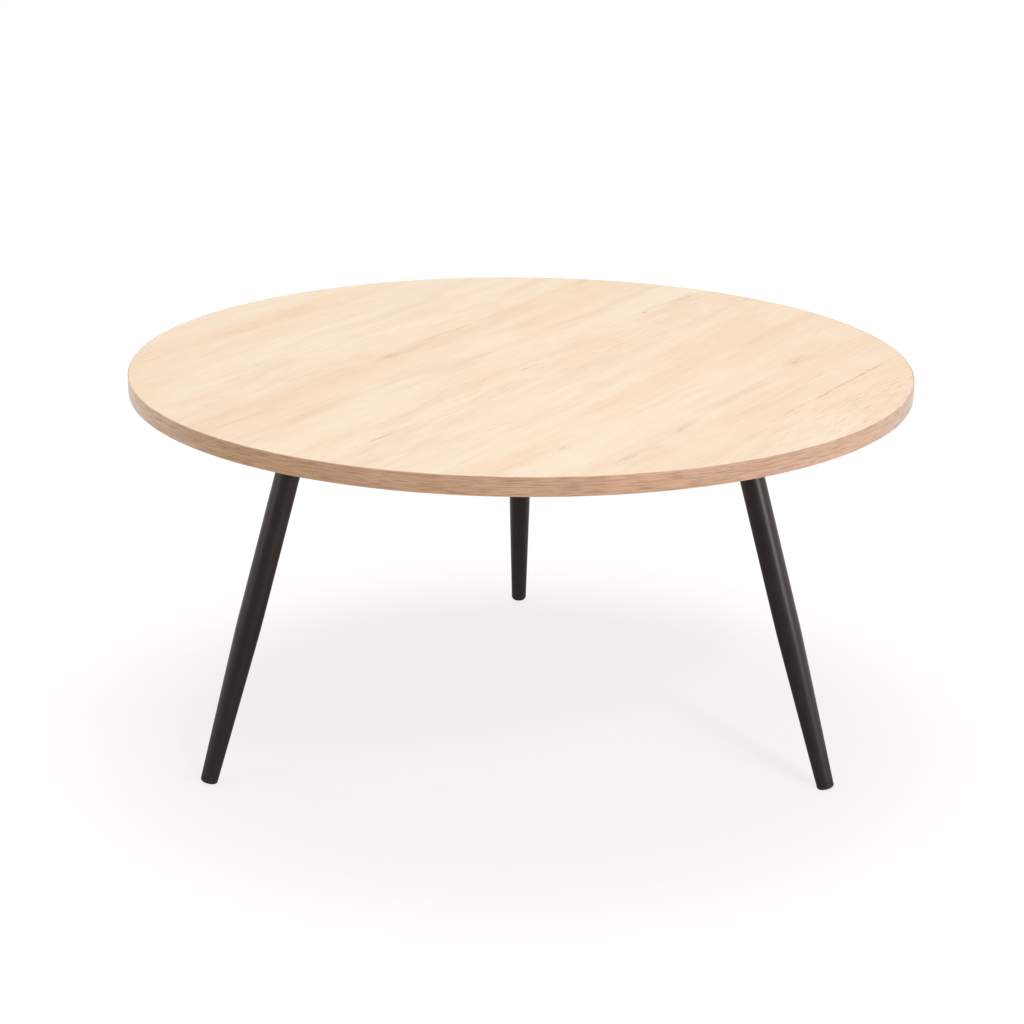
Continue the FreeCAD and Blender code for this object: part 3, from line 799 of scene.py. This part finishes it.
class LegPlace:
    """Where one leg stands. Its own X points outwards across the tube and its Z runs up the tube."""

    def __init__(self, azimuth, legs):
        self.lean = legs.splay
        outward = np.array((np.cos(azimuth), np.sin(azimuth), 0))
        upward = np.array((0, 0, 1))
        self.sideways = np.array((-np.sin(azimuth), np.cos(azimuth), 0))
        self.across = np.cos(self.lean) * outward + np.sin(self.lean) * upward
        self.along = np.cos(self.lean) * upward - np.sin(self.lean) * outward
        self.outward = outward
        foot_height = TUBE_LOW.z + FOOT_RADIUS * np.sin(self.lean)
        rise = PLATE_BOTTOM - foot_height
        self.foot = outward * (PLATE_REACH + rise * np.tan(self.lean)) + upward * foot_height
        self.tube_length = rise / np.cos(self.lean)

    def to_table(self, points):
        """Takes points from the leg's own axes to the table's."""
        return self.foot + points.reshape(-1, 3) @ np.stack((self.across, self.sideways, self.along))


def swaged_radius(height, taper):
    """Outer radius of the tube: it narrows evenly over the taper, with a soft change at its start."""
    share_left = (taper - height) / taper
    softened = (share_left + np.sqrt(share_left**2 + SWAGE_SOFTNESS**2)) / 2
    return TUBE_RADIUS - (TUBE_RADIUS - FOOT_RADIUS) * softened


def leg_tube(place, legs, columns=TUBE_COLUMNS):
    """Carries the tube's closed section round the leg's axis. Heights at the top end follow the cut
    under the plate: length less x times the tangent of the lean."""
    edge = legs.foot_edge
    close_end = CLOSE_ROWS * legs.taper
    corner = arc((FOOT_RADIUS - edge, edge), edge, -np.pi / 2, 0, FOOT_EDGE_ROWS)[:-1]
    height = np.concatenate((np.linspace(edge, close_end, TAPER_ROWS), [place.tube_length]))
    outer = np.stack((swaged_radius(height, legs.taper), height), axis=-1)
    height = np.concatenate(([place.tube_length], np.linspace(close_end, 0, BORE_ROWS)))
    inner = np.stack((swaged_radius(height, legs.taper) - legs.wall, height), axis=-1)
    profile = np.concatenate((corner, outer, inner))
    points = spun(profile, even_angles(columns))
    top_end = profile[:, 1] == place.tube_length
    points[top_end, :, 2] -= points[top_end, :, 0] * np.tan(place.lean)
    return place.to_table(points), grid_quads(len(profile), columns, close_rows=True).tolist()


def weld_bead(place, legs, columns=WELD_COLUMNS):
    """Carries a bulging three-sided section round the ellipse where tube and plate meet. The bead's
    size swells by a sine of the ripples, whose crests bend back across the bead."""
    angle = even_angles(columns)
    x, y = TUBE_RADIUS * np.cos(angle), TUBE_RADIUS * np.sin(angle)
    corner = place.to_table(np.stack((x, y, place.tube_length - x * np.tan(place.lean)), axis=-1))
    facing = np.stack((x, TUBE_RADIUS / np.cos(place.lean) * np.sin(angle)), axis=-1)
    facing /= np.linalg.norm(facing, axis=1, keepdims=True)
    over_plate = facing[:, :1] * place.outward + facing[:, 1:] * place.sideways
    swing = np.linspace(0, np.pi / 2, WELD_ROWS)[:, None]
    crest = np.sin(legs.ripples * angle + WELD_BEND * np.sin(2 * swing))
    uneven = sum(depth * np.sin(count * angle + start) for depth, count, start in WELD_SWELLS)
    size = WELD_SIZE * (WELD_FULLNESS + WELD_RIPPLE * crest * np.sin(2 * swing) + uneven)
    reach = (size * np.cos(swing) ** WELD_FLATNESS)[..., None] * over_plate
    drop = (size * np.sin(swing) ** WELD_FLATNESS)[..., None] * -place.along
    points = np.concatenate((corner[None], corner + reach + drop))
    return points.reshape(-1, 3), grid_quads(len(points), columns, close_rows=True)[:, ::-1].tolist()


def cap_profile(legs):
    """Half section of a foot cap: a rounded head below the tube, then a stem with gripping fins."""
    head, edge, seam, pitch = legs.cap_head, legs.cap_round, legs.cap_seam, legs.cap_fin
    stem = FOOT_RADIUS - 2 * legs.wall - 2 * seam
    grip = FOOT_RADIUS - legs.wall - seam
    fin = FIN_SHARE * pitch
    below = arc((FOOT_RADIUS - edge, edge - head), edge, -np.pi / 2, 0, CAP_CORNER_ROWS)
    rim = [(FOOT_RADIUS, -seam), (FOOT_RADIUS - seam, 0.0), (stem, 0.0)]
    first = np.arange(1, legs.fins + 1) * pitch - pitch / 2
    fins = np.stack(
        (
            np.tile((stem, grip, grip, stem), legs.fins),
            (first[:, None] + np.array((0, 0, fin, fin))).ravel(),
        ),
        axis=-1,
    )
    tip = legs.fins * pitch
    return np.concatenate(([(0, -head)], below, rim, fins, [(stem, tip), (0, tip)]))


def foot_cap(place, legs, columns=CAP_COLUMNS):
    """Spins the cap's section about the leg's axis, then presses what would lie below the floor flat
    onto it, as a height of no less than zero."""
    points, faces = spun_solid(cap_profile(legs), columns)
    points = place.to_table(points)
    points[:, 2] = np.maximum(points[:, 2], 0)
    return points, faces


class LegTubes(bpy.types.Operator):
    """Makes the three swaged tubes"""

    bl_idname = "cocktail_table.leg_tubes"
    bl_label = "Leg tubes"

    def execute(self, context):
        legs = context.scene.cocktail_table.legs
        coat = shared_coat(legs)
        for side, azimuth in SIDES.items():
            piece = new_piece(f"leg_{side}", *leg_tube(LegPlace(azimuth, legs), legs))
            seat(piece, f"leg_tube_{side}", coat)
        return {"FINISHED"}


class WeldBeads(bpy.types.Operator):
    """Makes the weld beads between tubes and plates"""

    bl_idname = "cocktail_table.weld_beads"
    bl_label = "Weld beads"

    def execute(self, context):
        legs = context.scene.cocktail_table.legs
        coat = shared_coat(legs)
        for side, azimuth in SIDES.items():
            piece = new_piece(f"weld_bead_{side}", *weld_bead(LegPlace(azimuth, legs), legs))
            seat(piece, f"leg_weld_{side}", coat)
        return {"FINISHED"}


class FootCaps(bpy.types.Operator):
    """Makes the moulded foot caps"""

    bl_idname = "cocktail_table.foot_caps"
    bl_label = "Foot caps"

    def execute(self, context):
        legs = context.scene.cocktail_table.legs
        plastic = cap_plastic(legs)
        for side, azimuth in SIDES.items():
            piece = new_piece(f"foot_cap_{side}", *foot_cap(LegPlace(azimuth, legs), legs))
            seat(piece, f"foot_glide_{side}", plastic)
        return {"FINISHED"}


class PlatesAndFixings(bpy.types.Operator):
    """Finishes the leg plates, bolts, washers and threaded inserts"""

    bl_idname = "cocktail_table.plates_and_fixings"
    bl_label = "Plates and fixings"

    def execute(self, context):
        legs = context.scene.cocktail_table.legs
        coat = shared_coat(legs)
        black = plated("blackened_steel", legs.bolt, (0.38, 0.50))
        zinc = plated("zinc_plating", legs.zinc, (0.28, 0.42))
        for side in SIDES:
            dress(f"leg_plate_{side}", coat)
            dress(f"plate_bolts_{side}", black)
            dress(f"bolt_washers_{side}", zinc)
            dress(f"threaded_inserts_{side}", zinc)
        return {"FINISHED"}


# The stage

FLOOR_RADIUS = 2.6

# Distances from the middle between which the floor that is seen turns white, and how bright that is
FLOOR_FADE = (0.28, 0.68)
FLOOR_WHITE_STRENGTH = 1.07

# Direction of the room's end where the camera stands
CAMERA_END = (-0.17, -0.985, 0)

# Brightness in reflections, from one limit to another: of the floor by distance from the middle, which
# paints its shadow under the table, and by distance towards the camera's end, and of the world by how
# far a direction faces that end
FLOOR_MIRRORED_OUT = (0.2, 0.9, 0.2, 1.0)
FLOOR_MIRRORED_FRONT = (0.0, 0.9, 1.0, 0.08)
WORLD_MIRRORED = (-0.4, 0.92, 1.0, 0.32)

OVERHEAD_PLACE, OVERHEAD_SIZE = (0, 0.3, 2.6), (1.3, 1.3)
KEY_PLACE, KEY_SIZE = (1.05, -1.95, 2.30), (0.28, 0.28)
STRIP_PLACE, STRIP_SIZE = (1.70, -1.80, 0.72), (0.70, 0.55)
FILL_PLACE, FILL_SIZE = (-2.3, -1.1, 1.1), (1.4, 1.4)


def floor_disc(columns=FLOOR_COLUMNS):
    """A flat disc that faces up: quads between two circles, and a fan inside the smaller one."""
    circles = spun(np.array([(FLOOR_RADIUS / 2, 0), (FLOOR_RADIUS, 0)]), even_angles(columns))
    points = np.concatenate((circles.reshape(-1, 3), [(0, 0, 0)]))
    quads = grid_quads(len(circles), columns)[:, ::-1]
    return points, quads.tolist() + pole_fan(len(points) - 1, np.arange(columns)).tolist()


def floor_material(stage):
    """Pale floor. Where it is seen, most of it is lifted to white, and all of it far from the table,
    so that only the soft shadow shows. In reflections it is dark under the table, a painted shadow, and
    at the camera's end of the room. From below it is clear."""
    material, nodes = bare_material("pale_floor")
    place = nodes.add("ShaderNodeTexCoord").outputs["Object"]
    path = nodes.add("ShaderNodeLightPath").outputs
    glossy = path["Is Glossy Ray"]
    seen = nodes.math("MAXIMUM", path["Is Camera Ray"], path["Is Transmission Ray"])
    far = nodes.measure("LENGTH", place)
    lift = nodes.math("MULTIPLY", nodes.fade(far, *FLOOR_FADE, stage.white_share, 1.0), seen)
    lift = nodes.math("MAXIMUM", lift, glossy)
    forward = nodes.measure("DOT_PRODUCT", place, CAMERA_END)
    mirrored = nodes.fade(forward, *FLOOR_MIRRORED_FRONT)
    mirrored = nodes.math("MULTIPLY", mirrored, nodes.fade(far, *FLOOR_MIRRORED_OUT))
    strength = nodes.blend(glossy, FLOOR_WHITE_STRENGTH, mirrored)
    matt = nodes.add("ShaderNodeBsdfDiffuse", {"Color": stage.floor})
    white = nodes.add("ShaderNodeEmission", {"Color": stage.floor_white, "Strength": strength})
    shown = nodes.add("ShaderNodeMixShader", {0: lift, 1: matt.outputs[0], 2: white.outputs[0]})
    below = nodes.add("ShaderNodeNewGeometry").outputs["Backfacing"]
    below = nodes.math("MULTIPLY", below, nodes.math("MAXIMUM", seen, glossy))
    clear = nodes.add("ShaderNodeBsdfTransparent")
    whole = nodes.add("ShaderNodeMixShader", {0: below, 1: shown.outputs[0], 2: clear.outputs[0]})
    nodes.add("ShaderNodeOutputMaterial", {"Surface": whole.outputs[0]})
    return material


def white_world(stage):
    """White all round: full white where it is seen, and a plain level where it lights the table. In
    reflections the end of the room where the camera stands is dark."""
    world = bpy.data.worlds.new("white_studio")
    world.use_nodes = True
    world.node_tree.nodes.clear()
    nodes = Shading(world.node_tree)
    path = nodes.add("ShaderNodeLightPath").outputs
    seen = nodes.math("MAXIMUM", path["Is Camera Ray"], path["Is Transmission Ray"])
    way = nodes.add("ShaderNodeTexCoord").outputs["Generated"]
    mirrored = nodes.fade(nodes.measure("DOT_PRODUCT", way, CAMERA_END), *WORLD_MIRRORED)
    strength = nodes.blend(seen, stage.ambient, 1.0)
    strength = nodes.blend(path["Is Glossy Ray"], strength, mirrored)
    light = nodes.add("ShaderNodeBackground", {"Color": (1, 1, 1), "Strength": strength})
    nodes.add("ShaderNodeOutputWorld", {"Surface": light.outputs[0]})
    return world


def soft_lamp(name, place, aim, size, power):
    """A flat lamp at a place, turned to its aim."""
    lamp = bpy.data.lights.new(name, "AREA")
    lamp.shape = "RECTANGLE"
    lamp.size, lamp.size_y = size
    lamp.energy = power
    holder = bpy.data.objects.new(name, lamp)
    holder.location = place
    holder.rotation_euler = Vector(np.subtract(aim, place)).to_track_quat("-Z", "Y").to_euler()
    bpy.context.scene.collection.objects.link(holder)


def standing_camera(stage):
    """A camera in front of the table, panned, tilted down and rolled a little."""
    view = bpy.data.cameras.new("camera")
    view.lens = stage.lens
    camera = bpy.data.objects.new("camera", view)
    place = Matrix.Translation((0, -stage.distance, stage.height))
    level = Matrix.Rotation(stage.pan, 4, "Z") @ Matrix.Rotation(np.pi / 2 - stage.pitch, 4, "X")
    camera.matrix_world = place @ level @ Matrix.Rotation(stage.roll, 4, "Z")
    bpy.context.scene.collection.objects.link(camera)
    return camera


class Stage(bpy.types.Operator):
    """Makes the floor, the lamps, the world and the camera"""

    bl_idname = "cocktail_table.stage"
    bl_label = "Stage"

    def execute(self, context):
        stage = context.scene.cocktail_table.stage
        floor = new_piece("floor", *floor_disc())
        floor.data.materials.append(floor_material(stage))
        table_top = (0, 0, SHEET_HIGH.z)
        soft_lamp("overhead", OVERHEAD_PLACE, table_top, OVERHEAD_SIZE, stage.overhead)
        soft_lamp("key", KEY_PLACE, table_top, KEY_SIZE, stage.key)
        soft_lamp("strip", STRIP_PLACE, table_top, STRIP_SIZE, stage.strip)
        soft_lamp("fill", FILL_PLACE, table_top, FILL_SIZE, stage.fill)
        context.scene.world = white_world(stage)
        context.scene.camera = standing_camera(stage)
        context.scene.view_settings.view_transform = "Standard"
        return {"FINISHED"}


OPERATORS = (
    TopSheet,
    EdgeStrip,
    BoardInside,
    LegTubes,
    WeldBeads,
    FootCaps,
    PlatesAndFixings,
    Stage,
)


class TablePanel(bpy.types.Panel):
    """Lists the steps that make the table"""

    bl_idname = "VIEW3D_PT_cocktail_table"
    bl_label = "Round cocktail table"
    bl_space_type = "VIEW_3D"
    bl_region_type = "UI"
    bl_category = "Table"

    def draw(self, context):
        for step in OPERATORS:
            self.layout.operator(step.bl_idname)


CLASSES = (TopSettings, LegSettings, StageSettings, TableSettings, *OPERATORS, TablePanel)


def register():
    """Makes the settings, steps and panel known."""
    for kind in CLASSES:
        bpy.utils.register_class(kind)
    bpy.types.Scene.cocktail_table = PointerProperty(type=TableSettings)


def unregister():
    """Takes them away again."""
    del bpy.types.Scene.cocktail_table
    for kind in reversed(CLASSES):
        bpy.utils.unregister_class(kind)


def main():
    """Makes the table and its stage."""
    register()
    for step in OPERATORS:
        getattr(bpy.ops.cocktail_table, step.bl_idname.split(".")[1])()


if __name__ == "__main__":
    main()
